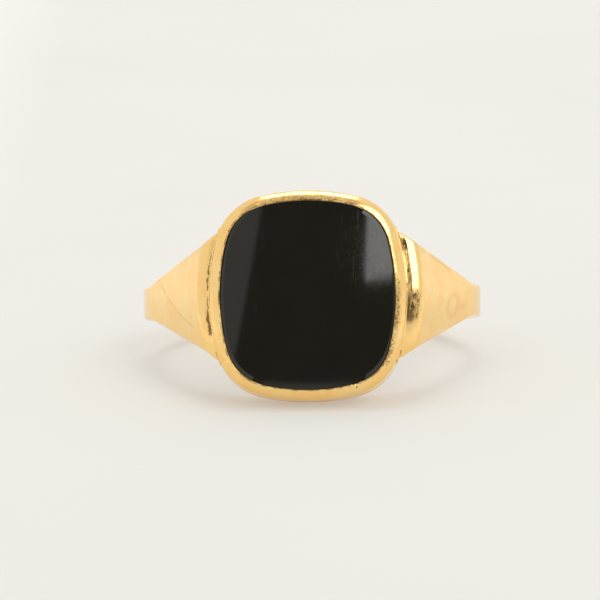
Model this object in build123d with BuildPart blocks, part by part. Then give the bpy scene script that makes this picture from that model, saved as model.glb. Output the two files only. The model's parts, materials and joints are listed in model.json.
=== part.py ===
from build123d import *
from math import asin, atan2, cos, degrees, hypot, radians, sin, tan
import os

os.makedirs("parts", exist_ok=True)

# Signet ring: a buff-topped cushion of black onyx in a rub-over gold setting, on a hollow-shouldered ring.
# Millimetres, +Z up. The origin is the centre of the finger hole. The ring lies on its side, the way it
# rests on a table: on the widest edge of its gallery and the lower edge of its shank.
# Three lengths describe a place on it: across (along X), along the finger, and forward, out of the face.

# Finger hole and shank
FINGER_R = 9.5
BAND_THICK = 1.2
BAND_WIDE = 2.0
BAND_ROUND = 0.2
BAND_EASE = 0.12
BAND_R = FINGER_R + BAND_THICK

# Cushion outline of the stone, as it shows inside the lip of the setting
STONE_HALF_ACROSS = 5.41
STONE_HALF_ALONG = 5.82
SIDE_ARC_R = 13.3
END_ARC_R = 12.6
CORNER_R = 2.93

# How far the other outlines stand outside that one (negative is inside it)
GIRDLE_GROW = 0.24
RIM_GROW = 0.64
BEARER_INNER_GROW = -0.62
GALLERY_INNER_GROW = -0.30

# Heights forward of the finger hole's axis
GALLERY_TOP = 10.35
SOLDER = 0.06
COLLET_BASE = GALLERY_TOP + SOLDER
SEAT = 11.35
GIRDLE_TOP = 12.35
RIM_TOP = 12.95
STONE_APEX = 13.26

# The stone's buff top, a low barrel, rounder across than along
TOP_ACROSS_R = 34.0
TOP_ALONG_R = 70.0

COLLET_FLARE = 2.0
COLLET_FOOT_GROW = RIM_GROW + (RIM_TOP - COLLET_BASE) * tan(radians(COLLET_FLARE))
RIM_ROUND = 0.42
GALLERY_TAPER = 18.0
GALLERY_FOOT = 6.5

# Shoulders: a shelf beside the collet, a crest, then the slope down to the band
SHELF = 11.96
SHELF_BEND_ACROSS = 6.45
SHELF_BEND_ROUND = 1.0
CREST = 11.83
CREST_ROUND = 0.4
SHOULDER_EDGE = 0.15
TANGENT_AT = 21.5
SEAM_AT = 16.0
SHOULDER_WIDE_AT_CREST = 5.88
SHOULDER_WIDE_AT_HEAD = 8.2
FLARE_RUN = 0.72
FLARE_ROUND = 1.0
SHOULDER_WALL = 0.8
HOLLOW_FROM = 1.2
HOLLOW_TO = 6.3
HOLLOW_ENDS_AT = 33.0

# Where the shoulder's and its hollow's sections are closed off, inside the head and past the band's seam
INSIDE_HEAD = 3.0
HOLLOW_INSIDE_HEAD = 4.0
ROOT = 6.0
PAST_SEAM = 8.0
BAND_ROOT = 8.0

# Closing seam of the collet's strip: degrees round the lower end arc, and the width of its solder
COLLET_SEAM_AT = -76.3
SLOT_LONG = 2.0
REACH = 30.0

# Half the width of the barrel that shapes the stone's top, wider than the stone
BARREL_HALF = 8.0


def attitude():
    """Tilt of the finger hole's axis from upright when the ring lies on its gallery and its shank."""
    rise = STONE_HALF_ALONG + COLLET_FOOT_GROW - (BAND_WIDE / 2 - BAND_ROUND)
    run = GALLERY_TOP + BAND_R - BAND_ROUND
    return degrees(atan2(rise, run) - asin(BAND_ROUND / hypot(rise, run)))


TILT = attitude()
AXIS_DIR = Vector(0, sin(radians(TILT)), cos(radians(TILT)))
FACE_DIR = Vector(0, -cos(radians(TILT)), sin(radians(TILT)))

# Face plane: local x across, local y along the finger, local z forward
FACE = Plane((0, 0, 0), x_dir=(1, 0, 0), z_dir=FACE_DIR)
# Hole plane: local x across, local y to the back of the ring, local z along the finger
HOLE = Plane((0, 0, 0), x_dir=(1, 0, 0), z_dir=AXIS_DIR)


def cushion(height, grow):
    """The cushion outline at a height forward of the finger hole, grown outward all round."""
    across = STONE_HALF_ACROSS + grow
    along = STONE_HALF_ALONG + grow
    side_r = SIDE_ARC_R + grow
    end_r = END_ARC_R + grow
    with BuildSketch(FACE.offset(height)) as outline:
        with Locations((across - side_r, 0)):
            Circle(side_r)
        with Locations((side_r - across, 0)):
            Circle(side_r, mode=Mode.INTERSECT)
        with Locations((0, along - end_r)):
            Circle(end_r, mode=Mode.INTERSECT)
        with Locations((0, end_r - along)):
            Circle(end_r, mode=Mode.INTERSECT)
        corners = outline.vertices().filter_by(lambda v: abs(v.X) > 1 and abs(v.Y) > 1)
        fillet(corners, CORNER_R + grow)
    return outline.sketch


def finger_hole():
    """The finger hole's circle, below the ring."""
    with BuildSketch(HOLE.offset(-REACH / 2)) as circle:
        Circle(FINGER_R)
    return circle.sketch


def band_plane(angle):
    """Section plane of the band: local x outward from the finger, local y along it.

    The angle runs round the finger hole from straight across on the right, towards the face.
    """
    outward = HOLE.from_local_coords(Vector(cos(radians(angle)), -sin(radians(angle)), 0))
    return Plane((0, 0, 0), x_dir=outward, z_dir=outward.cross(AXIS_DIR))


def band_section(angle):
    """The band's section: flat against the finger, its outer corners rounded."""
    with BuildSketch(band_plane(angle)) as section:
        with Locations((FINGER_R + BAND_THICK / 2, 0)):
            Rectangle(BAND_THICK, BAND_WIDE)
        outer = section.vertices().group_by(Axis.X)[-1]
        fillet(outer, BAND_ROUND)
        inner = section.vertices().group_by(Axis.X)[0]
        fillet(inner, BAND_EASE)
    return section.sketch


def collet_sides(grow):
    """Base and top outlines of the collet's flared outer face, grown outward all round."""
    return [cushion(COLLET_BASE, COLLET_FOOT_GROW + grow), cushion(RIM_TOP, RIM_GROW + grow)]


def gallery_sides(grow):
    """Top outline of the gallery and its smaller one inside the finger hole, grown outward all round."""
    narrowing = (GALLERY_TOP - GALLERY_FOOT) * tan(radians(GALLERY_TAPER))
    top_grow = COLLET_FOOT_GROW + grow
    return [cushion(GALLERY_TOP, top_grow), cushion(GALLERY_FOOT, top_grow - narrowing)]


# Onyx: flat back, upright girdle, a slope for the lip to hold, and the buff top
with BuildPart() as onyx_stone:
    extrude(cushion(SEAT, GIRDLE_GROW), amount=GIRDLE_TOP - SEAT)
    loft([cushion(GIRDLE_TOP, GIRDLE_GROW), cushion(GIRDLE_TOP + GIRDLE_GROW, 0)], ruled=True)
    extrude(cushion(GIRDLE_TOP + GIRDLE_GROW, 0), amount=STONE_APEX - GIRDLE_TOP - GIRDLE_GROW + 0.1)
    with BuildSketch(HOLE) as barrel:
        with BuildLine():
            edge = TOP_ACROSS_R - (TOP_ACROSS_R**2 - BARREL_HALF**2) ** 0.5 - STONE_APEX
            axle = TOP_ALONG_R - STONE_APEX
            ThreePointArc((-BARREL_HALF, edge), (0, -STONE_APEX), (BARREL_HALF, edge))
            Polyline((BARREL_HALF, edge), (BARREL_HALF, axle), (-BARREL_HALF, axle), (-BARREL_HALF, edge))
        make_face()
    back = Axis(HOLE.from_local_coords(Vector(0, axle, 0)), (1, 0, 0))
    revolve(axis=back, mode=Mode.INTERSECT)
onyx_stone.part.label = "onyx_stone"

# Collet: the strip that stands round the stone, flared to its base, its rim rounded over the stone's edge
with BuildPart() as collet_ring:
    loft(collet_sides(0), ruled=True)
    rim = collet_ring.faces().sort_by(lambda f: f.center().dot(FACE_DIR))[-1]
    fillet(rim.edges(), RIM_ROUND)
    extrude(cushion(COLLET_BASE, 0), amount=RIM_TOP, mode=Mode.SUBTRACT)
    extrude(cushion(COLLET_BASE, GIRDLE_GROW), amount=SEAT - COLLET_BASE, mode=Mode.SUBTRACT)
    add(onyx_stone.part, mode=Mode.SUBTRACT)


def collet_seam():
    """A thin slot across the collet's wall, where its strip closes."""
    centre_along = END_ARC_R - STONE_HALF_ALONG
    turn = radians(COLLET_SEAM_AT)
    reach = END_ARC_R + RIM_GROW / 2
    place = (reach * cos(turn), centre_along + reach * sin(turn))
    with BuildSketch(FACE.offset(COLLET_BASE)) as slot:
        with Locations(Location(place, COLLET_SEAM_AT)):
            Rectangle(SLOT_LONG, SOLDER)
    return slot.sketch


with BuildPart() as bezel_collet:
    add(collet_ring.part)
    extrude(collet_seam(), amount=REACH, mode=Mode.SUBTRACT)
bezel_collet.part.label = "bezel_collet"

with BuildPart() as collet_seam_solder:
    add(collet_ring.part)
    extrude(collet_seam(), amount=REACH, mode=Mode.INTERSECT)
collet_seam_solder.part.label = "collet_seam_solder"

# Bearer: the ledge inside the collet that the stone sits on
with BuildPart() as bearer_ring:
    extrude(cushion(COLLET_BASE, GIRDLE_GROW), amount=SEAT - COLLET_BASE)
    extrude(cushion(COLLET_BASE, BEARER_INNER_GROW), amount=SEAT - COLLET_BASE, mode=Mode.SUBTRACT)
bearer_ring.part.label = "bearer_ring"

# Gallery: the saddle under the collet, tapered to the finger and cut to its curve, open behind the stone
with BuildPart() as under_gallery:
    loft(gallery_sides(0), ruled=True)
    extrude(cushion(GALLERY_FOOT, GALLERY_INNER_GROW), amount=REACH, mode=Mode.SUBTRACT)
    extrude(finger_hole(), amount=REACH, mode=Mode.SUBTRACT)
under_gallery.part.label = "under_gallery"

# Solder between the collet with its bearer and the gallery
with BuildPart() as collet_base_solder:
    extrude(collet_sides(0)[0], amount=-SOLDER)
    extrude(cushion(GALLERY_TOP, BEARER_INNER_GROW), amount=SOLDER, mode=Mode.SUBTRACT)
collet_base_solder.part.label = "collet_base_solder"


def head_envelope(grow):
    """Everything inside the head's outer face, grown outward, for the shoulders to stand against."""
    with BuildPart() as envelope:
        loft(collet_sides(grow), ruled=True)
        extrude(collet_sides(grow)[0], amount=-SOLDER)
        loft(gallery_sides(grow), ruled=True)
    return envelope.part


# Shoulder, before it is parted from the head. It turns about the upright through the middle of the
# collet's side arc, so that its shelf and crest follow the collet, and its slope runs tangent on to the band.
tangent = radians(TANGENT_AT)
crest_across = (BAND_R - CREST * sin(tangent)) / cos(tangent)
crest_corner = HOLE.from_local_coords(Vector(crest_across, -CREST, 0))
tangent_point = HOLE.from_local_coords(Vector(BAND_R * cos(tangent), -BAND_R * sin(tangent), 0))
slope_run = (tangent_point - crest_corner).length
seam_run = slope_run + BAND_R * radians(TANGENT_AT - SEAM_AT)
upright = Axis(FACE.from_local_coords(Vector(STONE_HALF_ACROSS - SIDE_ARC_R, 0, 0)), FACE_DIR)

# Slope plane: local x down the slope to the band, local y along the finger, local z outward
slope_dir = (tangent_point - crest_corner).normalized()
SLOPE = Plane(crest_corner, x_dir=slope_dir, z_dir=slope_dir.cross(AXIS_DIR))


def shoulder_outline(wall):
    """The shoulder's taper from head to band, less a wall on both sides, flared where it meets the head."""
    at_head = SHOULDER_WIDE_AT_HEAD / 2 - wall
    at_crest = SHOULDER_WIDE_AT_CREST / 2 - wall
    at_band = BAND_WIDE / 2 - wall
    past_seam = seam_run + BAND_WIDE
    with BuildSketch(SLOPE) as outline:
        with BuildLine():
            Polyline((-FLARE_RUN, -at_head), (0, -at_crest), (seam_run, -at_band), (past_seam, -at_band),
                     (past_seam, at_band), (seam_run, at_band), (0, at_crest), (-FLARE_RUN, at_head),
                     close=True)
        make_face()
        fillet(outline.vertices().filter_by(lambda v: abs(v.X) < 0.01), FLARE_ROUND)
    return outline.sketch


def band_point(angle, radius):
    """A point of the band's middle plane, in the hole plane's own coordinates."""
    return (radius * cos(radians(angle)), -radius * sin(radians(angle)))


def hollow_point(down_slope):
    """A point of the hollow's roof, a wall's thickness under the slope, this far down it from the crest."""
    point = crest_corner + slope_dir * down_slope - SLOPE.z_dir * SHOULDER_WALL
    local = HOLE.to_local_coords(point)
    return (local.X, local.Y)


def is_outer_edge(edge):
    """True for the shoulder's two long outer edges, from the crest round to the band."""
    middle = HOLE.to_local_coords(edge.center())
    from_axis = hypot(middle.X, middle.Y)
    return middle.X > HOLLOW_INSIDE_HEAD and abs(middle.Z) > BAND_WIDE / 2 - 0.01 and from_axis > BAND_R - 0.1


with BuildPart() as shoulder_blank:
    with BuildSketch(HOLE) as profile:
        with BuildLine():
            Polyline((INSIDE_HEAD, -ROOT), (INSIDE_HEAD, -SHELF), (SHELF_BEND_ACROSS, -SHELF),
                     (crest_across, -CREST), band_point(TANGENT_AT, BAND_R))
            ThreePointArc(band_point(TANGENT_AT, BAND_R), band_point(SEAM_AT, BAND_R),
                          band_point(SEAM_AT - PAST_SEAM, BAND_R))
            Polyline(band_point(SEAM_AT - PAST_SEAM, BAND_R), band_point(SEAM_AT - PAST_SEAM, BAND_ROOT),
                     (INSIDE_HEAD, -ROOT))
        make_face()
        fillet(profile.vertices().filter_by(lambda v: abs(v.Y + CREST) < 0.01), CREST_ROUND)
        bend = profile.vertices().filter_by(lambda v: abs(v.X - SHELF_BEND_ACROSS) < 0.01)
        fillet(bend, SHELF_BEND_ROUND)
    revolve(axis=upright)
    extrude(shoulder_outline(0), amount=REACH, both=True, mode=Mode.INTERSECT)
    long_edges = shoulder_blank.edges().filter_by(is_outer_edge)
    fillet(long_edges, SHOULDER_EDGE)
    extrude(finger_hole(), amount=REACH, mode=Mode.SUBTRACT)
    split(bisect_by=band_plane(SEAM_AT), keep=Keep.TOP)

# Hollow under the shoulder, open to the finger, a wall's thickness inside the slope and the two sides
with BuildPart() as shoulder_hollow:
    with BuildSketch(HOLE) as section:
        with BuildLine():
            roof_start = hollow_point(HOLLOW_FROM)
            Polyline((HOLLOW_INSIDE_HEAD, roof_start[1]), roof_start, hollow_point(HOLLOW_TO),
                     band_point(HOLLOW_ENDS_AT, FINGER_R - 1), (HOLLOW_INSIDE_HEAD, -ROOT), close=True)
        make_face()
    revolve(axis=upright)
    extrude(shoulder_outline(SHOULDER_WALL), amount=REACH, both=True, mode=Mode.INTERSECT)

with BuildPart() as right_shoulder:
    add(shoulder_blank.part)
    add(shoulder_hollow.part, mode=Mode.SUBTRACT)
    add(head_envelope(SOLDER), mode=Mode.SUBTRACT)
right_shoulder.part.label = "right_shoulder"

# Solder between the shoulder and the head, a skin over the part of the head that the shoulder covers
with BuildPart() as right_head_solder:
    add(shoulder_blank.part)
    add(shoulder_hollow.part, mode=Mode.SUBTRACT)
    add(head_envelope(SOLDER), mode=Mode.INTERSECT)
    add(head_envelope(0), mode=Mode.SUBTRACT)
right_head_solder.part.label = "right_head_solder"

with BuildPart() as left_shoulder:
    mirror(right_shoulder.part, about=Plane.YZ)
left_shoulder.part.label = "left_shoulder"

with BuildPart() as left_head_solder:
    mirror(right_head_solder.part, about=Plane.YZ)
left_head_solder.part.label = "left_head_solder"

# Shank, from shoulder to shoulder round the back, with a wafer of solder at both ends
finger = Axis((0, 0, 0), AXIS_DIR)
solder_turn = degrees(SOLDER / FINGER_R)

with BuildPart() as shank:
    revolve(band_section(SEAM_AT - solder_turn), axis=finger, revolution_arc=180 + 2 * (SEAM_AT - solder_turn))
shank.part.label = "shank"

with BuildPart() as right_shank_solder:
    revolve(band_section(SEAM_AT), axis=finger, revolution_arc=solder_turn)
right_shank_solder.part.label = "right_shank_solder"

with BuildPart() as left_shank_solder:
    mirror(right_shank_solder.part, about=Plane.YZ)
left_shank_solder.part.label = "left_shank_solder"

for piece in (onyx_stone, bezel_collet, collet_seam_solder, bearer_ring, under_gallery, collet_base_solder,
              left_shoulder, right_shoulder, left_head_solder, right_head_solder, shank,
              left_shank_solder, right_shank_solder):
    export_step(piece.part, f"parts/{piece.part.label}.step")
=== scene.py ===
import json
from math import asin, atan2, cos, degrees, hypot, pi, radians, sin, sqrt, tan

import bmesh
import bpy
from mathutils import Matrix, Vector, noise


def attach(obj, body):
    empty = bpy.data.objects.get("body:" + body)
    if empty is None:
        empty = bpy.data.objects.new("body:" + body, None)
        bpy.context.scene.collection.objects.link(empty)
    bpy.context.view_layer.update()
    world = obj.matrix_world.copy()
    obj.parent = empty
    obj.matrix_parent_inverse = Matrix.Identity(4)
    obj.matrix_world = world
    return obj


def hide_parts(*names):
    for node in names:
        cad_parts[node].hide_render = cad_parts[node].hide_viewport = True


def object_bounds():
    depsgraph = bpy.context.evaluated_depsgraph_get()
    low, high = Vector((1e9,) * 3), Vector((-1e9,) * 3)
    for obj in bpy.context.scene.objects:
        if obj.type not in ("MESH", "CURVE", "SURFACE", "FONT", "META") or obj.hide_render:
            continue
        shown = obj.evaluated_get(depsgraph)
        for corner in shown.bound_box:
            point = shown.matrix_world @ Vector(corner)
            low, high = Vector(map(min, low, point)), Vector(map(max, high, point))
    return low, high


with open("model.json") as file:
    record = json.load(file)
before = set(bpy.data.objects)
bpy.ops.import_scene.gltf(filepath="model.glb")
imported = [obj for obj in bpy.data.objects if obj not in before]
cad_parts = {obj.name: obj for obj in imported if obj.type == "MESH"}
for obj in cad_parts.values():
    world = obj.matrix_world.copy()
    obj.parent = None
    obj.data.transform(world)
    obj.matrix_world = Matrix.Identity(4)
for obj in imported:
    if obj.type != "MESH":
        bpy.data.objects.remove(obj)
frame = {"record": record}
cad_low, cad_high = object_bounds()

# Signet ring, laid on its side as it rests on a table: on the edge of its gallery and the foot of its shank.
# Shapes are worked out in millimetres, upright: X across the face, Z along the finger, the face towards -Y.
# Each finished piece is scaled to metres and tipped back to the ring's resting attitude.
MM = 0.001
bore = next(mount for mount in frame["record"]["mounts"] if mount["name"] == "finger_bore")
FINGER_R = bore["dims"]["r_mm"]
TILT = atan2(bore["axis"][1], bore["axis"][2])


def resting(across, along, forward):
    """Where a place on the ring comes to rest, in metres: across, along the finger, forward of its axis."""
    back, up = along * sin(TILT) - forward * cos(TILT), along * cos(TILT) + forward * sin(TILT)
    return Vector((across, back, up)) * MM


# Studio: a table top of pale opal sheet, far wider than anything seen. It glows a little of itself, painted
# light that keeps the shadows cast on it light.
# It is the surface that the ring rests on, so it lies at the ring's lowest point.
def opal_sheet():
    """Warm white opal with a faint mottle; it glows a little of itself, painted light that lifts its shadows,
    more to either side of the ring.
    """
    material = bpy.data.materials.new("opal_sheet")
    material.use_nodes = True
    nodes, links = material.node_tree.nodes, material.node_tree.links
    shader = nodes["Principled BSDF"]
    shader.inputs["Roughness"].default_value = 0.9
    shader.inputs["Specular IOR Level"].default_value = 0.12
    place = nodes.new("ShaderNodeTexCoord")
    mottle = nodes.new("ShaderNodeTexNoise")
    mottle.inputs["Scale"].default_value = 22
    mottle.inputs["Detail"].default_value = 3
    links.new(place.outputs["Object"], mottle.inputs["Vector"])
    tint = nodes.new("ShaderNodeValToRGB")
    tint.color_ramp.elements[0].position = 0.3
    tint.color_ramp.elements[0].color = (0.480, 0.474, 0.452, 1)
    tint.color_ramp.elements[1].position = 0.7
    tint.color_ramp.elements[1].color = (0.498, 0.493, 0.471, 1)
    links.new(mottle.outputs["Fac"], tint.inputs["Fac"])
    links.new(tint.outputs["Color"], shader.inputs["Base Color"])
    # Painted light: the sheet glows of itself, so the shadows cast on it stay light.
    shader.inputs["Emission Color"].default_value = (1.0, 0.975, 0.925, 1)
    sides = nodes.new("ShaderNodeSeparateXYZ")
    links.new(place.outputs["Object"], sides.inputs[0])
    off = nodes.new("ShaderNodeMath")
    off.operation = "ABSOLUTE"
    links.new(sides.outputs["X"], off.inputs[0])
    # The painted glow is fainter near the ring and stronger to either side of it.
    glow = nodes.new("ShaderNodeMapRange")
    for socket, value in (("From Min", 0.022), ("From Max", 0.036), ("To Min", 0.325), ("To Max", 0.45)):
        glow.inputs[socket].default_value = value
    links.new(off.outputs[0], glow.inputs["Value"])
    links.new(glow.outputs["Result"], shader.inputs["Emission Strength"])
    tooth = nodes.new("ShaderNodeTexNoise")
    tooth.inputs["Scale"].default_value = 4000
    links.new(place.outputs["Object"], tooth.inputs["Vector"])
    bump = nodes.new("ShaderNodeBump")
    bump.inputs["Strength"].default_value = 0.25
    bump.inputs["Distance"].default_value = 0.00001
    links.new(tooth.outputs["Fac"], bump.inputs["Height"])
    links.new(bump.outputs["Normal"], shader.inputs["Normal"])
    return material


bpy.ops.object.select_all(action="DESELECT")
bpy.ops.mesh.primitive_grid_add(x_subdivisions=8, y_subdivisions=8, size=14, location=(0, 0, cad_low.z))
table_top = bpy.context.object
table_top.name = "table_top"
table_top.data.materials.append(opal_sheet())

# Studio light: a white tent that glows all round, with a soft box overhead. At the front the tent has a
# bright window to the right and a dark opening beside it, which the polished stone mirrors.
HEAD = resting(0, 0, 13)
BOX_WIDE, BOX_HIGH, BOX_AWAY, BOX_RADIANCE = 0.30, 0.26, 0.60, 2.7


def towards(azimuth, elevation):
    """Direction from the head, in radians: azimuth to the right of straight in front, elevation upwards."""
    return Vector((sin(azimuth) * cos(elevation), -cos(azimuth) * cos(elevation), sin(elevation)))


lamp = bpy.data.lights.new("overhead_box", "AREA")
lamp.shape = "RECTANGLE"
lamp.size = BOX_WIDE
lamp.size_y = BOX_HIGH
lamp.energy = BOX_RADIANCE * pi * BOX_WIDE * BOX_HIGH
lamp.color = (1.0, 0.99, 0.965)
overhead_box = bpy.data.objects.new("overhead_box", lamp)
bpy.context.scene.collection.objects.link(overhead_box)
overhead_box.location = HEAD + towards(radians(180), radians(74)) * BOX_AWAY
overhead_box.rotation_euler = towards(radians(180), radians(74)).to_track_quat("Z", "Y").to_euler()


def tent():
    """The tent's glow by direction: bright walls, dimmer in front, with a dark leaning gap and a window."""
    world = bpy.data.worlds.new("tent")
    world.use_nodes = True
    nodes, links = world.node_tree.nodes, world.node_tree.links
    glow = nodes["Background"]
    place = nodes.new("ShaderNodeTexCoord")
    axes = nodes.new("ShaderNodeSeparateXYZ")
    links.new(place.outputs["Generated"], axes.inputs[0])

    def ramp(source, low, high):
        step = nodes.new("ShaderNodeMapRange")
        step.interpolation_type = "SMOOTHSTEP"
        step.inputs["From Min"].default_value = low
        step.inputs["From Max"].default_value = high
        links.new(source, step.inputs["Value"])
        return step.outputs["Result"]

    def inside(*masks):
        whole = masks[0]
        for mask in masks[1:]:
            product = nodes.new("ShaderNodeMath")
            product.operation = "MULTIPLY"
            links.new(whole, product.inputs[0])
            links.new(mask, product.inputs[1])
            whole = product.outputs[0]
        return whole

    def shade(mask, outside, within):
        mixed = nodes.new("ShaderNodeMix")
        mixed.data_type = "RGBA"
        links.new(mask, mixed.inputs["Factor"])
        if isinstance(outside, tuple):
            mixed.inputs[6].default_value = outside
        else:
            links.new(outside, mixed.inputs[6])
        mixed.inputs[7].default_value = within
        return mixed.outputs[2]

    def leaning(lean):
        """How far to the right, measured from a line that leans."""
        side = nodes.new("ShaderNodeMath")
        side.operation = "MULTIPLY_ADD"
        links.new(axes.outputs["Z"], side.inputs[0])
        side.inputs[1].default_value = -lean
        links.new(axes.outputs["X"], side.inputs[2])
        return side.outputs[0]

    right, up = axes.outputs["X"], axes.outputs["Z"]
    front = ramp(axes.outputs["Y"], -0.2, -0.5)
    gap = inside(front, ramp(leaning(0.39), -0.374, -0.354), ramp(right, 0.56, 0.50),
                 ramp(up, 0.122, 0.132), ramp(up, 0.86, 0.70))
    dimmer = inside(front, ramp(right, -0.47, -0.34), ramp(right, 0.75, 0.60), ramp(up, 0.06, 0.12))
    window = inside(front, ramp(leaning(0.07), 0.166, 0.178), ramp(right, 0.64, 0.60),
                    ramp(up, 0.307, 0.319), ramp(up, 0.82, 0.78))
    walls = shade(dimmer, (0.89, 0.88, 0.86, 1), (0.56, 0.55, 0.52, 1))
    walls = shade(gap, walls, (0.07, 0.065, 0.052, 1))
    links.new(shade(window, walls, (3.2, 3.17, 3.10, 1)), glow.inputs["Color"])
    return world


bpy.context.scene.world = tent()
bpy.context.scene.view_settings.view_transform = "Standard"

# Camera: a long lens, a little below the face's own direction and a touch to its right.
CAMERA_AZIMUTH, CAMERA_ELEVATION, CAMERA_ROLL = radians(1.3), radians(12.7), radians(-0.87)
CAMERA_AWAY = 0.406
lens = bpy.data.cameras.new("camera")
lens.lens = 395
lens.sensor_width = 36
lens.shift_x = -0.01275
lens.shift_y = -0.0085
lens.clip_start = 0.01
camera = bpy.data.objects.new("camera", lens)
bpy.context.scene.collection.objects.link(camera)
to_camera = towards(CAMERA_AZIMUTH, CAMERA_ELEVATION)
camera.location = HEAD + to_camera * CAMERA_AWAY
camera.rotation_euler = (-to_camera).to_track_quat("-Z", "Y").to_euler()
camera.rotation_euler.rotate_axis("Z", CAMERA_ROLL)
bpy.context.scene.camera = camera

# Onyx: one cushion-shaped stone with a flat back, an upright girdle, a slope for the lip of the setting
# to hold, and a low buff top, ground and polished to a black mirror.
SIDE_ARC_R, END_ARC_R, CORNER_R = 13.3, 12.6, 2.93
HALF_ACROSS, HALF_ALONG = 5.41, 5.82
GIRDLE_GROW = 0.24
SEAT, GIRDLE_TOP, STONE_APEX = 11.35, 12.35, 13.26
TOP_ACROSS_R, TOP_ALONG_R = 34.0, 70.0

side_middle = HALF_ACROSS - SIDE_ARC_R
end_middle = HALF_ALONG - END_ARC_R
apart = hypot(side_middle, end_middle)
to_side, to_end = SIDE_ARC_R - CORNER_R, END_ARC_R - CORNER_R
reach = (to_side**2 - to_end**2 + apart**2) / (2 * apart)
rise = sqrt(to_side**2 - reach**2)
corner_across = side_middle + (-side_middle * reach - end_middle * rise) / apart
corner_along = (end_middle * reach - side_middle * rise) / apart
SIDE_ENDS = degrees(atan2(corner_along, corner_across - side_middle))
CORNER_ENDS = degrees(atan2(corner_along - end_middle, corner_across))


def cushion(turn, grow):
    """Place on the cushion outline, grown outward all round, where its edge faces this many degrees."""
    turn = (turn + 180) % 360 - 180
    steep = abs(turn) if abs(turn) <= 90 else 180 - abs(turn)
    if steep < SIDE_ENDS:
        middle, radius = (side_middle, 0), SIDE_ARC_R
    elif steep < CORNER_ENDS:
        middle, radius = (corner_across, corner_along), CORNER_R
    else:
        middle, radius = (0, end_middle), END_ARC_R
    across = middle[0] + (radius + grow) * cos(radians(steep))
    along = middle[1] + (radius + grow) * sin(radians(steep))
    return (across if abs(turn) <= 90 else -across, along if turn >= 0 else -along)


def cushion_turns(first, last, spacing, fine_at=None):
    """Directions round the outline from first to last, so that its points are evenly spaced, finer at one."""
    turns, turn = [], first
    while turn < last:
        turns.append(turn)
        steep = abs((turn + 90) % 180 - 90)
        radius = CORNER_R if SIDE_ENDS <= steep < CORNER_ENDS else END_ARC_R
        step = spacing
        if fine_at is not None and abs((turn - fine_at + 180) % 360 - 180) < 9:
            step = spacing / 5
        turn += degrees(step / radius)
    return turns + [last]


def buff_top(across, along):
    """Height of the stone's polished top: a barrel, rounder across than along."""
    sag = TOP_ACROSS_R - sqrt(TOP_ACROSS_R**2 - across**2)
    return STONE_APEX - TOP_ALONG_R + sqrt((TOP_ALONG_R - sag)**2 - along**2)


def upright(across, along, forward):
    return Vector((across, -forward, along))


def model_rings(name, rings, ends):
    """Lays out a circle of vertices on the first ring and extrudes it from ring to ring.

    The ends are capped, joined to each other, or drawn together to a point at each end.
    """
    bpy.ops.object.select_all(action="DESELECT")
    bpy.ops.mesh.primitive_circle_add(vertices=len(rings[0]))
    piece = bpy.context.object
    piece.name = piece.data.name = name
    bpy.ops.object.mode_set(mode="EDIT")
    mesh = bmesh.from_edit_mesh(piece.data)
    order = mesh.verts.layers.int.new("order")
    for number, vertex in enumerate(mesh.verts):
        vertex[order] = number
        vertex.co = rings[0][number]
    for ring in rings[1:]:
        bpy.ops.mesh.extrude_edges_indiv()
        mesh = bmesh.from_edit_mesh(piece.data)
        order = mesh.verts.layers.int["order"]
        for vertex in mesh.verts:
            if vertex.select:
                vertex.co = ring[vertex[order]]
    bmesh.update_edit_mesh(piece.data)
    if ends == "joined":
        bpy.ops.mesh.select_all(action="SELECT")
        bpy.ops.mesh.remove_doubles(threshold=0.0001)
    elif ends == "capped":
        bpy.ops.mesh.select_all(action="DESELECT")
        bpy.ops.mesh.select_non_manifold()
        bpy.ops.mesh.fill_holes(sides=0)
    else:
        for last in (rings[-1], rings[0]):
            bpy.ops.mesh.select_all(action="DESELECT")
            mesh = bmesh.from_edit_mesh(piece.data)
            middle = sum(last, Vector()) / len(last)
            size = max((place - middle).length for place in last) + 0.001
            for vertex in mesh.verts:
                if (vertex.co - middle).length < size:
                    vertex.select = True
            bpy.ops.mesh.merge(type="CENTER")
    bpy.ops.mesh.select_all(action="SELECT")
    bpy.ops.mesh.normals_make_consistent(inside=False)
    bpy.ops.object.mode_set(mode="OBJECT")
    return piece


def hand_worn(piece, depth, size, shift, share=lambda place: 1.0):
    """Moves the surface in and out a little, as handling and a burnisher leave it; share eases it off."""
    offset = Vector((shift, 2 * shift, 3 * shift))
    for vertex in piece.data.vertices:
        worn = depth * share(vertex.co) * noise.noise(vertex.co / size + offset)
        vertex.co += vertex.normal * worn


def finish_piece(piece, material, nodes, smooth=40):
    """Tips a piece back to rest in metres, gives it its finish and lets it stand for its CAD nodes."""
    bpy.ops.object.select_all(action="DESELECT")
    piece.select_set(True)
    bpy.context.view_layer.objects.active = piece
    bpy.ops.object.shade_smooth_by_angle(angle=radians(smooth))
    piece.scale = (MM, MM, MM)
    piece.rotation_euler.x = -TILT
    bpy.ops.object.transform_apply(location=False, rotation=True, scale=True)
    piece.data.materials.append(material)
    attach(piece, "root")
    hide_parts(*nodes)


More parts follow.
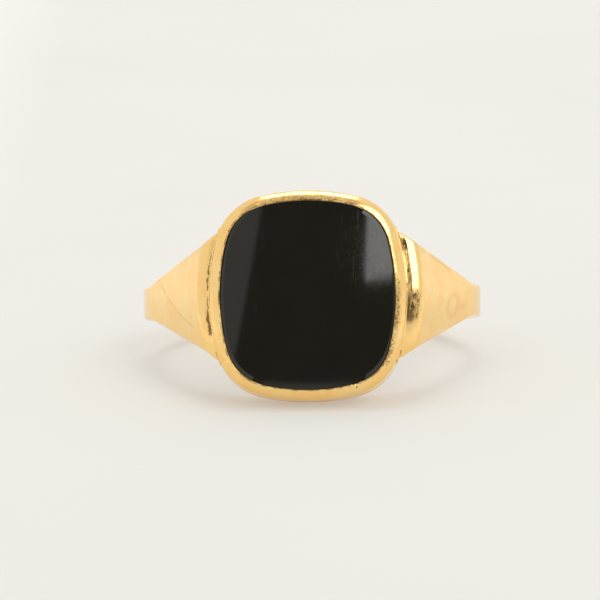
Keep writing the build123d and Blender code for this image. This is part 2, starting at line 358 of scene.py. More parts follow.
class Graph:
    """A new material and the few ways in which its nodes are joined; lengths in it are millimetres."""

    def __init__(self, name):
        self.material = bpy.data.materials.new(name)
        self.material.use_nodes = True
        self.nodes = self.material.node_tree.nodes
        self.links = self.material.node_tree.links
        self.shader = self.nodes["Principled BSDF"]
        self.place = self.scaled((1000, 1000, 1000))

    def node(self, kind, **inputs):
        made = self.nodes.new("ShaderNode" + kind)
        for socket, value in inputs.items():
            self.feed(made, socket.replace("_", " "), value)
        return made

    def feed(self, node, socket, value):
        """Links an output to a socket, or sets the socket to a plain value."""
        if isinstance(value, bpy.types.NodeSocket):
            self.links.new(value, node.inputs[socket])
        else:
            node.inputs[socket].default_value = value

    def scaled(self, scale, turn=(0, 0, 0)):
        place = self.nodes.new("ShaderNodeTexCoord").outputs["Object"]
        return self.node("Mapping", Vector=place, Scale=scale, Rotation=turn).outputs["Vector"]

    def noise(self, scale, detail=2.0, roughness=0.5, place=None, distortion=0.0):
        """Cloudy noise, with this many clouds to the millimetre."""
        made = self.node("TexNoise", Vector=place or self.place, Scale=scale, Detail=detail,
                         Roughness=roughness, Distortion=distortion)
        return made.outputs["Fac"]

    def ramp(self, source, low, high, to_low=0.0, to_high=1.0):
        """Source turned to a new range, level outside it."""
        made = self.node("MapRange", Value=source, From_Min=low, From_Max=high, To_Min=to_low, To_Max=to_high)
        return made.outputs["Result"]

    def sum(self, operation, one, other):
        made = self.nodes.new("ShaderNodeMath")
        made.operation = operation
        self.feed(made, 0, one)
        self.feed(made, 1, other)
        return made.outputs[0]

    def attribute(self, name):
        made = self.nodes.new("ShaderNodeAttribute")
        made.attribute_name = name
        return made.outputs["Fac"]

    def near(self, middle, inner, outer, stretch=(1, 1, 1)):
        """One inside a soft-edged spot of the surface, nought outside it; middle is in metres."""
        scale = [1000 / part for part in stretch]
        at = Vector(middle) * 1000
        spot = self.nodes.new("ShaderNodeVectorMath")
        spot.operation = "DISTANCE"
        self.feed(spot, 0, self.scaled(scale))
        spot.inputs[1].default_value = [part / share for part, share in zip(at, stretch)]
        return self.ramp(spot.outputs["Value"], inner, outer, 1.0, 0.0)

    def mix(self, factor, one, other):
        made = self.nodes.new("ShaderNodeMix")
        made.data_type = "RGBA"
        self.feed(made, "Factor", factor)
        for socket, value in ((6, one), (7, other)):
            if isinstance(value, bpy.types.NodeSocket):
                self.links.new(value, made.inputs[socket])
            else:
                made.inputs[socket].default_value = (*value, 1)
        return made.outputs[2]

    def bump(self, height, depth):
        """Raises the surface by this many millimetres where height is one."""
        made = self.node("Bump", Height=height, Strength=1.0, Distance=depth * MM)
        self.feed(self.shader, "Normal", made.outputs["Normal"])


def black_onyx():
    """Black mirror polish with hairlines and dust; towards its right edge it is dulled by rubbing and painted
    a lighter grey, a painted reflection.
    """
    graph = Graph("black_onyx")
    shader = graph.shader
    shader.inputs["IOR"].default_value = 1.54
    cloud = graph.noise(0.5, 3)
    black = graph.mix(cloud, (0.0094, 0.0088, 0.0064), (0.0122, 0.0114, 0.0084))
    # Spot towards the right edge: worn dull by rubbing, which is real, and painted a lighter grey, which is a
    # painted reflection.
    rubbed_and_sheen_spot = graph.near(resting(4.6, 2.6, 13.0), 1.0, 3.4)
    bloom_and_painted_sheen = graph.sum("MULTIPLY", rubbed_and_sheen_spot, graph.ramp(graph.noise(5.0, 4, 0.7), 0.45, 0.65, 0.0, 0.5))
    graph.feed(shader, "Base Color", graph.mix(bloom_and_painted_sheen, black, (0.045, 0.042, 0.036)))
    streaks = graph.noise(3.0, 4, 0.6, graph.scaled((1000, 160, 160), (0, 0.35, 0)))
    hairline = graph.ramp(graph.noise(4.0, 2, 0.5, graph.scaled((9000, 120, 120), (0, 0.5, 0.2))), 0.66, 0.72)
    dust = graph.ramp(graph.noise(14, 1), 0.76, 0.80)
    haze = graph.sum("MULTIPLY", rubbed_and_sheen_spot, streaks)
    rough = graph.sum("ADD", graph.ramp(graph.noise(0.8, 3), 0.3, 0.7, 0.03, 0.06),
                      graph.sum("MULTIPLY", haze, 0.06))
    rough = graph.sum("ADD", rough, graph.sum("MULTIPLY", dust, 0.3))
    graph.feed(shader, "Roughness", rough)
    height = graph.sum("ADD", graph.sum("MULTIPLY", hairline, -0.5), graph.sum("MULTIPLY", streaks, 0.15))
    graph.bump(height, 0.0006)
    return graph.material


stone_turns = cushion_turns(0, 360, 0.24)[:-1]
stone_rings = [[upright(*(part * share for part in cushion(turn, GIRDLE_GROW)), SEAT) for turn in stone_turns]
               for share in (0.05, 0.3, 0.6, 0.9, 0.99)]
for grow, height in ((GIRDLE_GROW, SEAT + 0.05), (GIRDLE_GROW, 11.8), (GIRDLE_GROW, GIRDLE_TOP - 0.03),
                     (GIRDLE_GROW - 0.03, GIRDLE_TOP + 0.03), (0.03, GIRDLE_TOP + 0.21),
                     (0.0, GIRDLE_TOP + 0.26)):
    stone_rings.append([upright(*cushion(turn, grow), height) for turn in stone_turns])
TOP_RINGS, TOP_INSET = 26, 0.012
for inset, drop in ((0.0, 0.016), (0.004, 0.005), (TOP_INSET, 0.0)):
    ring = [cushion(turn, -inset) for turn in stone_turns]
    stone_rings.append([upright(*place, buff_top(*place) - drop) for place in ring])
for number in range(1, TOP_RINGS):
    share = 1 - number / TOP_RINGS
    ring = [tuple(part * share for part in cushion(turn, -TOP_INSET)) for turn in stone_turns]
    stone_rings.append([upright(*place, buff_top(*place)) for place in ring])
onyx = model_rings("onyx_cushion", stone_rings, "pointed")
finish_piece(onyx, black_onyx(), ["onyx_stone"], smooth=30)

# Collet: a strip of yellow gold bent round the stone, soldered shut at the lower right, its top rubbed over
# the girdle and burnished. The rim is softly rounded by wear, pitted at the top, with a nick at the seam.
COLLET_BASE, RIM_TOP, RIM_GROW = 10.41, 12.95, 0.64
COLLET_FOOT_GROW = RIM_GROW + (RIM_TOP - COLLET_BASE) * tan(radians(2))
SEAM_TURN, SEAM_HALF = -76.3, 0.45
FIT = 0.004


def rounded(corners, spacing):
    """Path through (x, y, radius) corners: straight runs no longer than the spacing, and round corners."""
    path = [Vector(corners[0][:2])]
    for before, corner, after in zip(corners, corners[1:], corners[2:]):
        at = Vector(corner[:2])
        back, on = (Vector(before[:2]) - at).normalized(), (Vector(after[:2]) - at).normalized()
        if corner[2] == 0:
            arc = [at]
        else:
            half = back.angle(on) / 2
            middle = at + (back + on).normalized() * (corner[2] / sin(half))
            first, last = at + back * (corner[2] / tan(half)), at + on * (corner[2] / tan(half))
            steps = max(2, round(degrees(pi - 2 * half) / 11))
            arc = []
            for step in range(steps + 1):
                spoke = (first - middle).slerp(last - middle, step / steps)
                arc.append(middle + spoke.normalized() * corner[2])
        path.extend(run(path[-1], arc[0], spacing) + arc)
    return path + run(path[-1], Vector(corners[-1][:2]), spacing) + [Vector(corners[-1][:2])]


def run(first, last, spacing):
    """The places between two ends of a straight run, without the ends."""
    steps = max(1, round((last - first).length / spacing))
    return [first.lerp(last, step / steps) for step in range(1, steps)]


def collet_section(turn, shrink=0.0):
    """The strip's section at a direction round the stone: up the wall, over the rim, down inside."""
    edge = buff_top(*cushion(turn, 0))
    lip = min(edge + 0.015, RIM_TOP - 0.05)
    outside = [(COLLET_FOOT_GROW - 0.1, COLLET_BASE, 0), (COLLET_FOOT_GROW, COLLET_BASE, 0.05),
               (RIM_GROW + 0.015, RIM_TOP - 0.42, 0.2), (0.40, RIM_TOP - 0.13, 0.35), (0.05, RIM_TOP, 0.035),
               (0.0, lip, 0)]
    section = rounded(outside, 0.12)
    section += [Vector((FIT, GIRDLE_TOP + 0.27)), Vector((GIRDLE_GROW + FIT, GIRDLE_TOP + 0.01)),
                Vector((GIRDLE_GROW + FIT, SEAT + 0.1)), Vector((GIRDLE_GROW + FIT, COLLET_BASE))]
    middle = Vector((0.4, 11.8))
    return [place + (middle - place).normalized() * shrink for place in section]


def collet_ring(turn, shrink=0.0):
    places = [(cushion(turn, place.x), place.y) for place in collet_section(turn, shrink)]
    return [upright(across, along, height) for (across, along), height in places]


def gold(name, pale=0.0, scratches=1.0, pits=0.0, pitted=None, stain=None, marks_and_painted_shade=None, grain=(0, 0, 0)):
    """Polished yellow gold, worn: clouds of colour, fine scratches, and pits, stains, dark knocks and lines
    where given; some of those lines are painted shade.
    """
    graph = Graph(name)
    shader = graph.shader
    shader.inputs["Metallic"].default_value = 1.0
    shader.inputs["IOR"].default_value = 1.45
    deep = (1.0, 0.615 + 0.03 * pale, 0.205 + 0.06 * pale)
    light = (1.0, 0.730 + 0.02 * pale, 0.320 + 0.05 * pale)
    clouds = graph.sum("ADD", graph.ramp(graph.noise(0.45, 4, 0.6), 0.3, 0.7, 0.0, 0.6),
                       graph.ramp(graph.noise(1.9, 4, 0.6), 0.38, 0.62, 0.0, 0.4))
    colour = graph.mix(clouds, deep, light)
    one_way = graph.scaled((5200, 260, 260), (grain[0] + 0.3, grain[1] + 0.5, grain[2]))
    other_way = graph.scaled((260, 260, 4700), (grain[0], grain[1] + 0.9, grain[2] + 0.4))
    fine, cross = graph.noise(5.0, 3, 0.6, one_way), graph.noise(5.0, 3, 0.6, other_way)
    scratch = graph.sum("ADD", graph.ramp(fine, 0.60, 0.70), graph.ramp(cross, 0.62, 0.72))
    speck = graph.ramp(graph.noise(9.0, 2), 0.70, 0.78)
    rough = graph.ramp(graph.noise(1.1, 4, 0.6), 0.3, 0.7, 0.07, 0.19)
    rough = graph.sum("ADD", rough, graph.sum("MULTIPLY", scratch, 0.10 * scratches))
    height = graph.sum("MULTIPLY", scratch, -0.5 * scratches)
    height = graph.sum("ADD", height, graph.sum("MULTIPLY", speck, -1.5))
    height = graph.sum("ADD", height, graph.sum("MULTIPLY", graph.noise(1.6, 2), 4.0))
    if pitted is not None:
        pit = graph.sum("MULTIPLY", graph.ramp(graph.noise(6.5, 4, 0.75), 0.49, 0.56), pitted(graph))
        colour = graph.mix(graph.sum("MULTIPLY", pit, 0.8), colour, (0.16, 0.075, 0.02))
        height = graph.sum("ADD", height, graph.sum("MULTIPLY", pit, -pits))
        rough = graph.sum("ADD", rough, graph.sum("MULTIPLY", pit, 0.25))
    if stain is not None:
        colour = graph.mix(stain(graph), colour, (0.85, 0.40, 0.14))
    # Dark knocks and lines in the same brown; on the collet and the left crest these lines are painted shade
    # and a painted reflection.
    if marks_and_painted_shade is not None:
        mark_and_painted_shade = marks_and_painted_shade(graph)
        colour = graph.mix(graph.sum("MULTIPLY", mark_and_painted_shade, 0.85), colour, (0.16, 0.075, 0.02))
        height = graph.sum("ADD", height, graph.sum("MULTIPLY", mark_and_painted_shade, -4.0))
    graph.feed(shader, "Base Color", colour)
    graph.feed(shader, "Roughness", rough)
    graph.bump(height, 0.0012)
    return graph.material


def rim_pits(graph):
    """The pitted stretches of the rim, beside the stone at the top, and low on the right."""
    beside = graph.ramp(graph.attribute("from_lip"), 0.22, 0.42, 1.0, 0.0)
    top = graph.near(resting(-0.5, 5.95, 12.9), 0.75, 1.1, (2.9, 1, 0.8))
    right = graph.near(resting(5.5, -0.6, 12.9), 0.7, 1.1, (0.6, 1, 1.9))
    corner = graph.near(resting(4.95, -3.6, 12.8), 0.6, 1.1, (0.6, 1, 1.2))
    return graph.sum("MULTIPLY", beside, graph.sum("MAXIMUM", top, graph.sum("MAXIMUM", right, corner)))


def painted_lip_groove_shade(graph):
    """A broken dark line painted just outside the burnished lip: the painted shade of a fine groove there."""
    off = graph.sum("SUBTRACT", graph.attribute("from_lip"), 0.085)
    lip = graph.ramp(graph.sum("ABSOLUTE", off, 0.0), 0.025, 0.045, 1.0, 0.0)
    return graph.sum("MULTIPLY", lip, graph.ramp(graph.noise(2.6, 5, 0.75), 0.45, 0.57, 0.0, 0.9))


collet_turns = cushion_turns(SEAM_TURN + SEAM_HALF, SEAM_TURN + 360 - SEAM_HALF, 0.22, SEAM_TURN)
collet = model_rings("bezel_strip", [collet_ring(turn) for turn in collet_turns], "capped")
from_lip = collet.data.attributes.new("from_lip", "FLOAT", "POINT")
for level, order in zip(from_lip.data, collet.data.attributes["order"].data):
    level.value = collet_section(0)[order.value].x
hand_worn(collet, 0.020, 1.7, 3.1)
hand_worn(collet, 0.008, 0.5, 7.7)
NICK_ACROSS, NICK_DEEP = 0.26, 0.16
nick = upright(*cushion(SEAM_TURN + 1.5, 0.06), RIM_TOP)
for vertex in collet.data.vertices:
    away = (vertex.co - nick).length
    if away < NICK_ACROSS:
        vertex.co.y += NICK_DEEP * (1 - away / NICK_ACROSS)
# The collet's gold: pits on the rim, and the painted shade of a fine groove beside the lip.
rubbed_gold = gold("rubbed_gold", pits=14, pitted=rim_pits, marks_and_painted_shade=painted_lip_groove_shade)
finish_piece(collet, rubbed_gold, ["bezel_collet"])

# Collet seam: the hair of solder that closes the strip, a shade paler and a little sunk where it shrank.
seam_turns = (SEAM_TURN - SEAM_HALF - 0.02, SEAM_TURN, SEAM_TURN + SEAM_HALF + 0.02)
seam = model_rings("bezel_seam", [collet_ring(turn, 0.02) for turn in seam_turns], "capped")
finish_piece(seam, gold("solder_gold", pale=1.0, pits=0), ["collet_seam_solder"])

# Bearer: a narrower strip of the same gold, sweated inside the collet for the stone's back to sit on.
# Its inner edge is filed to a bevel and shows only from the finger side.
BEARER_GROW = -0.62


def wall_rings(section):
    """A closed section of (grow, height) places carried once round the cushion."""
    turns = cushion_turns(0, 360, 0.3)
    return [[upright(*cushion(turn, grow), height) for grow, height in section] for turn in turns]


bearer_path = rounded([(0.0, COLLET_BASE, 0), (GIRDLE_GROW, COLLET_BASE, 0.04), (GIRDLE_GROW, SEAT, 0.04),
                       (BEARER_GROW, SEAT, 0.08), (BEARER_GROW, COLLET_BASE, 0.12),
                       (-0.05, COLLET_BASE, 0)], 0.25)
bearer = model_rings("bearer_ledge", wall_rings(bearer_path), "joined")
hand_worn(bearer, 0.012, 0.8, 1.3)
finish_piece(bearer, gold("bearer_gold", scratches=1.6), ["bearer_ring"])

# Gallery: the pierced saddle under the collet, tapered in towards the finger, cut to the finger's curve
# and left open behind the stone. Its outside is filed smooth, its inside is left as cast.
GALLERY_TOP, GALLERY_INNER_GROW, GALLERY_TAPER = 10.35, -0.30, radians(18)


def gallery_grow(height):
    return COLLET_FOOT_GROW - (GALLERY_TOP - height) * tan(GALLERY_TAPER)


def saddle(turn):
    """Height at which the gallery's tapered outside meets the finger hole."""
    height = FINGER_R
    for _ in range(30):
        height = sqrt(FINGER_R**2 - cushion(turn, gallery_grow(height))[0]**2)
    return height


def gallery_ring(turn):
    """The wall's section: down the outside, across the saddle, up the inside and over the top."""
    foot = saddle(turn)
    levels = [GALLERY_TOP - (GALLERY_TOP - foot) * part / 8 for part in range(9)]
    outside = [(gallery_grow(height), height) for height in levels]
    foot_thick = GALLERY_INNER_GROW - gallery_grow(foot)
    across_foot = [gallery_grow(foot) + foot_thick * part / 4 for part in (1, 2, 3, 4)]
    under = [(grow, sqrt(FINGER_R**2 - cushion(turn, grow)[0]**2)) for grow in across_foot]
    inner_foot = under[-1][1]
    inner_high, top_thick = GALLERY_TOP - inner_foot, COLLET_FOOT_GROW - GALLERY_INNER_GROW
    inside = [(GALLERY_INNER_GROW, inner_foot + inner_high * part / 8) for part in range(1, 9)]
    over = [(GALLERY_INNER_GROW + top_thick * part / 4, GALLERY_TOP) for part in (1, 2, 3)]
    return [upright(*cushion(turn, grow), height) for grow, height in outside + under + inside + over]


gallery_rings = [gallery_ring(turn) for turn in cushion_turns(0, 360, 0.22)]
gallery = model_rings("gallery_saddle", gallery_rings, "joined")
hand_worn(gallery, 0.015, 1.4, 5.2)
eased = gallery.modifiers.new("eased_edges", "BEVEL")
eased.width = 0.05
eased.segments = 3
eased.limit_method = "ANGLE"
eased.angle_limit = radians(40)
bpy.ops.object.modifier_apply(modifier="eased_edges")
finish_piece(gallery, gold("gallery_gold", scratches=1.4), ["under_gallery"])

# Base solder: the line of solder between the collet and the gallery, a fine bead all round the outside.
BEAD = 0.025
bead_path = rounded([(COLLET_FOOT_GROW - 0.3, GALLERY_TOP, 0),
                     (COLLET_FOOT_GROW + BEAD, GALLERY_TOP - 0.03, 0.04),
                     (COLLET_FOOT_GROW + BEAD, COLLET_BASE + 0.03, 0.04),
                     (COLLET_FOOT_GROW - 0.3, COLLET_BASE, 0),
                     (BEARER_GROW + 0.05, COLLET_BASE, 0), (BEARER_GROW, COLLET_BASE - 0.03, 0.02),
                     (BEARER_GROW + 0.05, GALLERY_TOP, 0), (COLLET_FOOT_GROW - 0.4, GALLERY_TOP, 0)], 0.4)
base_bead = model_rings("base_bead", wall_rings(bead_path), "joined")
base_solder_gold = gold("base_solder_gold", pale=0.8, scratches=0.6)
finish_piece(base_bead, base_solder_gold, ["collet_base_solder"])

# Shoulders: two tapered wedges, hollowed underneath, from the bezel down to the band. Each has a narrow
# shelf and a rounded crest that follow the bezel, then a long slope that narrows and runs on to the band.
CREST, CROWN_R, FLATTENS_OVER = 11.92, 21.0, 3.0
BAND_THICK, BAND_WIDE = 1.2, 2.0
BAND_R = FINGER_R + BAND_THICK
TANGENT_AT, SEAM_AT = radians(21.5), radians(16)
SHOULDER_EDGE, SHOULDER_WALL, HOLLOW_ENDS_AT = 0.2, 0.8, radians(33)
WIDE_AT_HEAD, WIDE_AT_CREST, FLARE_RUN, FLARE_ROUND, WIDEST = 4.3, 3.32, 0.72, 1.0, 4.25

crest_across = (BAND_R - CREST * sin(TANGENT_AT)) / cos(TANGENT_AT)
crest_corner = Vector((crest_across, CREST))
tangent_point = Vector((BAND_R * cos(TANGENT_AT), BAND_R * sin(TANGENT_AT)))
slope_dir = (tangent_point - crest_corner).normalized()
SEAM_RUN = (tangent_point - crest_corner).length + BAND_R * (TANGENT_AT - SEAM_AT)


def half_width(place):
    """Half the shoulder's width at an (across, forward) place: straight tapers joined by a round flare."""
    down = (place - crest_corner).dot(slope_dir)
    flare = (WIDE_AT_CREST - WIDE_AT_HEAD) / FLARE_RUN
    taper = (BAND_WIDE / 2 - WIDE_AT_CREST) / SEAM_RUN
    steep, gentle = atan2(-flare, 1), atan2(-taper, 1)
    reach = FLARE_ROUND * tan((steep - gentle) / 2)
    middle_down = reach * cos(gentle) + FLARE_ROUND * sin(gentle)
    middle_wide = WIDE_AT_CREST - reach * sin(gentle) + FLARE_ROUND * cos(gentle)
    if down < -reach * cos(steep):
        return min(WIDE_AT_CREST + flare * down, WIDEST)
    if down > reach * cos(gentle):
        return max(WIDE_AT_CREST + taper * down, BAND_WIDE / 2)
    return middle_wide - sqrt(FLARE_ROUND**2 - (down - middle_down)**2)


def off_band(height):
    """Nought where the band begins and one a little above it: the shoulder flattens to meet the band."""
    return min(max((height - BAND_R * sin(SEAM_AT)) / FLATTENS_OVER, 0.0), 1.0)


def turned(place, along):
    """A place of the middle profile, so far along the finger, turned about the bezel's side arc's middle."""
    out = place.x - side_middle
    return Vector((place.x - (out - sqrt(out**2 - along**2)) * off_band(place.y), place.y))


def crown(height, along):
    """How far the outer face has fallen away, so far from its middle."""
    return along**2 / (2 * CROWN_R) * off_band(height)


def crowned(place, along):
    """The same on the shoulder's outer face, which falls away a little towards both its edges."""
    return turned(place, along) - Vector((0, crown(place.y, along)))


def spread(middle_place, share, inset=0.0):
    """The place at this share of the half width, solved because the width changes with the place."""
    along = 0.0
    for _ in range(12):
        along = share * (half_width(turned(middle_place, along)) - inset)
    return crowned(middle_place, along), along


def side_width(place):
    """Half the width at a place on the sides, which were cut before the crown was filed."""
    wide = half_width(place)
    for _ in range(8):
        wide = half_width(place + Vector((0, crown(place.y, wide))))
    return wide


def head_face(height):
    """How far out the head's side stands at this height, with the solder on it."""
    grow = RIM_GROW + (RIM_TOP - height) * tan(radians(2)) if height > GALLERY_TOP else gallery_grow(height)
    return HALF_ACROSS + grow + 0.01


def head_foot(along):
    """Angle round the finger hole at which the head's side reaches it, so far along the finger."""
    height = FINGER_R
    for _ in range(20):
        height = sqrt(FINGER_R**2 - turned(Vector((head_face(height), height)), along).x ** 2)
    return asin(height / FINGER_R)


first_top = Vector((5.93, 12.42))
RIGHT_SHELF = [(*first_top, 0), (6.10, 11.99, 0.12), (6.55, 11.965, 1.2), (7.05, 11.84, 0.4)]
LEFT_SHELF = [(*first_top, 0), (6.02, 12.04, 0.10), (6.45, 11.95, 1.2), (6.84, 11.83, 0.45)]
HEAD_LEVELS, HUGS_HEAD, WIDEST_AGAINST_HEAD = 6, 12, 4
TOP_COLUMNS, EDGE_STEPS, FLOOR_COLUMNS = 30, 5, 12


def top_line(shelf):
    """The middle of the shoulder's top: shelf and crest, the long slope, then the start of the band."""
    turns = [TANGENT_AT + (SEAM_AT - TANGENT_AT) * step / 5 for step in range(1, 6)]
    round_band = [Vector((cos(turn), sin(turn))) * BAND_R for turn in turns]
    return rounded([*shelf, (*tangent_point, 0)], 0.2) + round_band


def shoulder_ring(middle, travelled):
    """The section at one place of the top line, in (across, along, forward) places all the way round."""
    inward = -middle.normalized()

    def floor_at(along):
        turn = head_foot(along) + (SEAM_AT - head_foot(along)) * travelled
        return Vector((FINGER_R * cos(turn), FINGER_R * sin(turn)))

    def side_places(sign):
        edge, _ = spread(middle, 1)
        top = edge + inward * SHOULDER_EDGE
        places = []
        for level in range(1, HEAD_LEVELS + 1):
            share = level / (HEAD_LEVELS + 1)
            guess = top
            for _ in range(6):
                wide = side_width(guess)
                foot = floor_at(wide)
                straight = top.lerp(foot, share)
                face = turned(Vector((head_face(straight.y), 0)), min(wide, WIDEST_AGAINST_HEAD))
                guess = straight.lerp(Vector((face.x, straight.y)), (1 - travelled) ** HUGS_HEAD)
            places.append((guess.x, sign * side_width(guess), guess.y))
        return places

    def top_places():
        places = []
        for step in range(TOP_COLUMNS + 1):
            share = 1 - 2 * step / TOP_COLUMNS
            spot, along = spread(middle, share, SHOULDER_EDGE)
            places.append((spot.x, along, spot.y))
        return places

    def edge_places(sign):
        places = []
        _, inner = spread(middle, 1, SHOULDER_EDGE)
        for step in range(1, EDGE_STEPS + 1):
            turn = pi / 2 * step / EDGE_STEPS
            spot, _ = spread(middle, 1, SHOULDER_EDGE * (1 - sin(turn)))
            spot = spot + inward * SHOULDER_EDGE * (1 - cos(turn))
            places.append((spot.x, sign * (inner + SHOULDER_EDGE * sin(turn)), spot.y))
        return places

    def floor_places():
        wide = 1.0
        for _ in range(8):
            wide = side_width(floor_at(wide))
        inner = max(wide - SHOULDER_WALL, 0.15)
        foot = floor_at(wide)
        past = (atan2(foot.y, foot.x) - HOLLOW_ENDS_AT) / 0.05
        lift = min(max(past, 0.0), 1.0)
        places = [(foot.x, -wide, foot.y)]
        for share in (-(wide + inner) / 2, -inner):
            spot = floor_at(abs(share))
            places.append((spot.x, share, spot.y))
        for step in range(FLOOR_COLUMNS + 1):
            share = -1 + 2 * step / FLOOR_COLUMNS
            low = floor_at(inner)
            high, _ = spread(middle, share)
            depth = max((high - low).length, 0.01)
            roof = high.lerp(low, min((SHOULDER_WALL + 0.25) / depth, 1.0))
            roof_wide = max(half_width(roof) - SHOULDER_WALL - 0.06, inner * 0.9)
            along = share * (inner * 0.94 * (1 - lift) + roof_wide * lift)
            spot = floor_at(abs(along)).lerp(roof, lift * 0.98)
            places.append((spot.x, along, spot.y))
        for share in (inner, (wide + inner) / 2):
            spot = floor_at(share)
            places.append((spot.x, share, spot.y))
        places.append((foot.x, wide, foot.y))
        return places

    right = edge_places(-1) + side_places(-1)
    left = edge_places(1) + side_places(1)
    return top_places() + right + floor_places() + left[::-1]


def shoulder_rings(hand, shelf):
    """All the sections of one shoulder, from the head to the band; hand is 1 on the right, -1 on the left."""
    middles = top_line(shelf)
    lengths = [0.0]
    for here, there in zip(middles, middles[1:]):
        lengths.append(lengths[-1] + (there - here).length)
    rings = []
    for middle, length in zip(middles, lengths):
        ring = shoulder_ring(middle, length / lengths[-1])
        rings.append([upright(hand * across, along, forward) for across, along, forward in ring])
    return rings


def arris(graph, at, soft):
    """The worn line along the shoulder's long edges, where its top meets its sides."""
    off = graph.sum("ABSOLUTE", graph.sum("SUBTRACT", graph.attribute("from_edge"), at), 0.0)
    return graph.ramp(off, 0.01, soft, 1.0, 0.0)


def left_hairline_and_painted_crest_shade(graph):
    """A hairline that curls over the left slope, and two broken dark lines along the crest that are painted:
    the shade of the valley beside the head and a dark reflection in the crest.
    """
    curl = graph.nodes.new("ShaderNodeVectorMath")
    curl.operation = "DISTANCE"
    graph.feed(curl, 0, graph.scaled((1000, 0, 1000)))
    middle = resting(-6.5, 2.5, 8.0) * 1000
    curl.inputs[1].default_value = (middle.x, 0, middle.z)
    off = graph.sum("ABSOLUTE", graph.sum("SUBTRACT", curl.outputs["Value"], 3.55), 0.0)
    line = graph.ramp(off, 0.012, 0.035, 1.0, 0.0)
    broken = graph.ramp(graph.noise(2.5, 2), 0.38, 0.5)
    stretch = graph.near(resting(-8.9, -0.3, 7.0), 1.9, 2.2, (1, 4, 1))
    line = graph.sum("MULTIPLY", graph.sum("MULTIPLY", line, broken), graph.sum("MULTIPLY", stretch, 0.55))
    # The crest's two lines from here on are painted shade and a painted reflection, broken up by noise.
    ragged = graph.ramp(graph.noise(3.4, 5, 0.75), 0.3, 0.7, -0.09, 0.09)
    out = graph.sum("ADD", graph.attribute("from_head"), ragged)
    thin = graph.ramp(graph.sum("ABSOLUTE", graph.sum("SUBTRACT", out, 0.80), 0.0), 0.020, 0.045, 1.0, 0.0)
    thick = graph.ramp(graph.sum("ABSOLUTE", graph.sum("SUBTRACT", out, 0.84), 0.0), 0.070, 0.11, 1.0, 0.0)
    thin = graph.sum("MULTIPLY", thin, graph.ramp(graph.noise(2.1, 4, 0.7), 0.42, 0.50))
    thin = graph.sum("MULTIPLY", thin, graph.near(resting(-6.1, 0.3, 11.9), 0.85, 1.0, (2, 2, 2.6)))
    thick = graph.sum("MULTIPLY", thick, graph.near(resting(-6.1, -1.65, 11.9), 0.8, 1.0, (2, 2, 0.8)))
    return graph.sum("MAXIMUM", line, graph.sum("MAXIMUM", thin, thick))


def right_marks(graph):
    """Knocks and short scratches along the right crest, where it catches on things."""
    knocks = graph.ramp(graph.noise(2.2, 5, 0.75, graph.scaled((2600, 1000, 700))), 0.53, 0.60)
    crest = graph.near(resting(6.65, -0.5, 11.9), 0.7, 1.1, (0.40, 1, 0.9))
    streak = graph.near(resting(6.15, 1.6, 11.9), 0.8, 1.0, (0.07, 1, 1.5))
    above = graph.near(resting(8.3, 2.6, 8.4), 0.9, 1.0, (2.2, 1.6, 4.2))
    line = graph.sum("MULTIPLY", graph.sum("MULTIPLY", arris(graph, 0.30, 0.04), above), 0.5)
    return graph.sum("MAXIMUM", line, graph.sum("MULTIPLY", knocks, graph.sum("MAXIMUM", crest, streak)))


def right_stain(graph):
    """A faint oval tidemark of tarnish on the right slope."""
    middle, shape = resting(8.95, -0.5, 6.6), (0.46, 3, 0.80)
    rim = graph.sum("SUBTRACT", graph.near(middle, 0.75, 1.15, shape), graph.near(middle, 0.45, 0.75, shape))
    blot = graph.near(resting(9.55, -0.55, 5.0), 0.3, 1.0, (0.4, 3, 0.3))
    return graph.sum("MULTIPLY", graph.sum("MAXIMUM", rim, blot), 0.34)


WEAR_EASES_OVER = 0.5


def off_seam(place):
    """Nought at the band's seams, where the pieces have to meet flush, and one a little way from them."""
    turn = atan2(-place.y, abs(place.x))
    return min(1.0, abs(turn - SEAM_AT) * BAND_R / WEAR_EASES_OVER)


for side, hand, shelf, details in (("right", 1, RIGHT_SHELF, {"marks_and_painted_shade": right_marks, "stain": right_stain}),
                                   ("left", -1, LEFT_SHELF, {"marks_and_painted_shade": left_hairline_and_painted_crest_shade})):
    shoulder = model_rings(side + "_wedge", shoulder_rings(hand, shelf), "capped")
    from_edge = [side_width(Vector((abs(vertex.co.x), -vertex.co.y))) - abs(vertex.co.z)
                 for vertex in shoulder.data.vertices]
    from_head = [hypot(abs(vertex.co.x) - side_middle, vertex.co.z) - SIDE_ARC_R
                 for vertex in shoulder.data.vertices]
    for name, levels in (("from_edge", from_edge), ("from_head", from_head)):
        shoulder.data.attributes.new(name, "FLOAT", "POINT").data.foreach_set("value", levels)
    hand_worn(shoulder, 0.020, 2.6, 6.0, off_seam)
    hand_worn(shoulder, 0.006, 0.7, 11.0, off_seam)
    finish_piece(shoulder, gold(side + "_shoulder_gold", grain=(0, 0.4 * hand, 0), **details),
                 [side + "_shoulder"])

# Head solder: the fine bead of solder where each shoulder meets the head. It was run in up one side,
# along the shelf and down the other, and cuts across the shelf's two corners.
FILLET_R = 0.045
FILLET_FOOT, CORNER_DROP, CORNER_INSET = 8.15, 0.3, 0.18
FACE_STEPS, SHELF_STEPS = 12, 40


def fillet_line(hand):
    """The line where the shoulder meets the head: up one side, along the shelf and down the other."""
    side = []
    top = first_top.y - crown(first_top.y, side_width(first_top)) - CORNER_DROP
    for step in range(FACE_STEPS + 1):
        height = FILLET_FOOT + (top - FILLET_FOOT) * step / FACE_STEPS
        face = Vector((head_face(height), height))
        along = 3.0
        for _ in range(12):
            along = side_width(turned(face, along))
        side.append((turned(face, along).x, along, height))
    line = list(side)
    wide = side[-1][1] - CORNER_INSET
    for step in range(SHELF_STEPS + 1):
        along = wide * (1 - 2 * step / SHELF_STEPS)
        spot = crowned(Vector((head_face(first_top.y), first_top.y)), along)
        line.append((spot.x, along, spot.y))
    line += [(across, -along, height) for across, along, height in reversed(side)]
    return [upright(hand * across, along, forward) for across, along, forward in line]


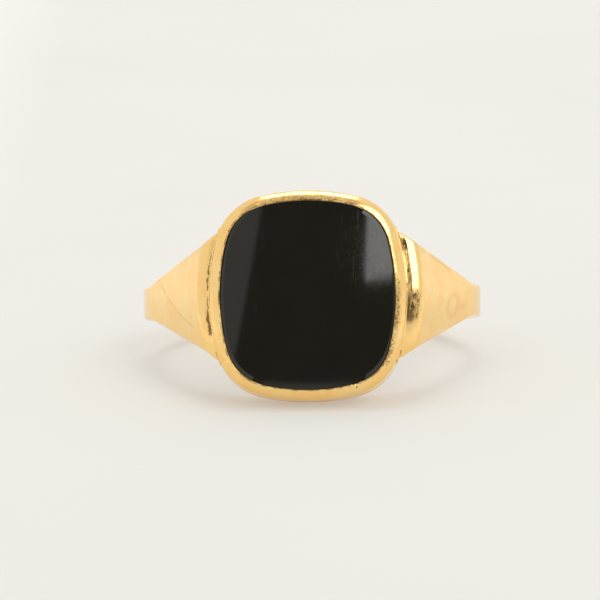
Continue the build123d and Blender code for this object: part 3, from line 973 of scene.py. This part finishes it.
def bead_rings(line, radius):
    """Small round sections square to a line, thinning at its two ends."""
    rings = []
    for number, place in enumerate(line):
        ahead = line[min(number + 1, len(line) - 1)] - line[max(number - 1, 0)]
        aside = Vector((0, 0, 1)) if abs(ahead.normalized().z) < 0.9 else Vector((1, 0, 0))
        first = ahead.cross(aside).normalized()
        second = ahead.cross(first).normalized()
        thin = min(1.0, 0.3 + 0.2 * min(number, len(line) - 1 - number))
        rings.append([place + (first * cos(turn) + second * sin(turn)) * radius * thin
                      for turn in (pi / 5 * step for step in range(10))])
    return rings


for side, hand in (("right", 1), ("left", -1)):
    fillet = model_rings(side + "_fillet", bead_rings(fillet_line(hand), FILLET_R), "capped")
    hand_worn(fillet, 0.02, 0.4, 2.0 + hand)
    finish_piece(fillet, gold(side + "_fillet_gold", pale=0.6, scratches=0.5),
                 [side + "_head_solder"])

# Shank: a plain flat band, square in section with its corners eased, bent round the back of the finger
# from shoulder to shoulder. Years on the hand have softened it and scratched it all over.
BAND_ROUND, BAND_EASE = 0.2, 0.12
SOLDER_TURN = 0.06 / FINGER_R


def band_ring(turn, proud=0.0):
    """The band's section at an angle round the finger hole, from straight across on the right."""
    half = BAND_WIDE / 2 + proud
    outer, inner = BAND_R + proud, FINGER_R - proud
    section = rounded([(FINGER_R + 0.6, half, 0), (outer, half, BAND_ROUND), (outer, -half, BAND_ROUND),
                       (inner, -half, BAND_EASE), (inner, half, BAND_EASE), (FINGER_R + 0.59, half, 0)], 0.25)
    return [upright(place.x * cos(turn), place.y, place.x * sin(turn)) for place in section]


SHANK_STEPS = 110
shank_from, shank_to = SEAM_AT - SOLDER_TURN, -pi - SEAM_AT + SOLDER_TURN
shank_turns = [shank_from + (shank_to - shank_from) * step / SHANK_STEPS for step in range(SHANK_STEPS + 1)]
shank = model_rings("band", [band_ring(turn) for turn in shank_turns], "capped")
hand_worn(shank, 0.020, 2.6, 6.0, off_seam)
hand_worn(shank, 0.006, 0.7, 11.0, off_seam)
finish_piece(shank, gold("band_gold", scratches=1.5), ["shank"])

# Shank solder: a wafer of paler solder at each end of the band, dressed flush so that only a line shows.
for side, from_turn in (("right", SEAM_AT - SOLDER_TURN), ("left", pi - SEAM_AT)):
    turns = [from_turn - 0.0005 + (SOLDER_TURN + 0.001) * step / 2 for step in range(3)]
    wafer = model_rings(side + "_wafer", [band_ring(turn) for turn in turns], "capped")
    finish_piece(wafer, gold(side + "_wafer_gold", pale=0.35), [side + "_shank_solder"])
